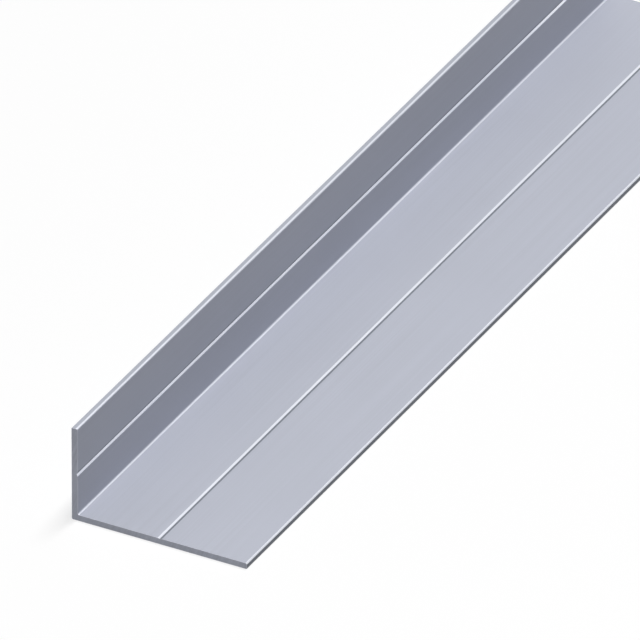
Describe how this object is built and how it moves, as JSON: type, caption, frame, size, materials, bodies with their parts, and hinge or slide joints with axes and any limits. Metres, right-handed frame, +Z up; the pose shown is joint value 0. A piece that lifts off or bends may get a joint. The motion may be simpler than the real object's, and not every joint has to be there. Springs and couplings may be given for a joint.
{
  "type": "unequal metal angle section",
  "caption": "Short bar of unequal aluminium angle with thin walls, softly rounded toes and a shallow V drill line near the middle of each leg's inner face.",
  "frame": {"origin": "centre of the bounding box's base: on the underside of the wide leg, at mid-length and mid-width", "axes": "+Y along the length; +X from the heel to the toe of the wide leg, which lies flat; +Z up, along the standing leg"},
  "size_m": [0.0434, 0.25, 0.0235],
  "materials": {
    "mill_aluminium": "satin extruded aluminium, cool silver-grey, bare, with faint die lines along the length and sawn ends"
  },
  "bodies": {
    "root": {"angle_section": "mill_aluminium"}
  },
  "joints": []
}
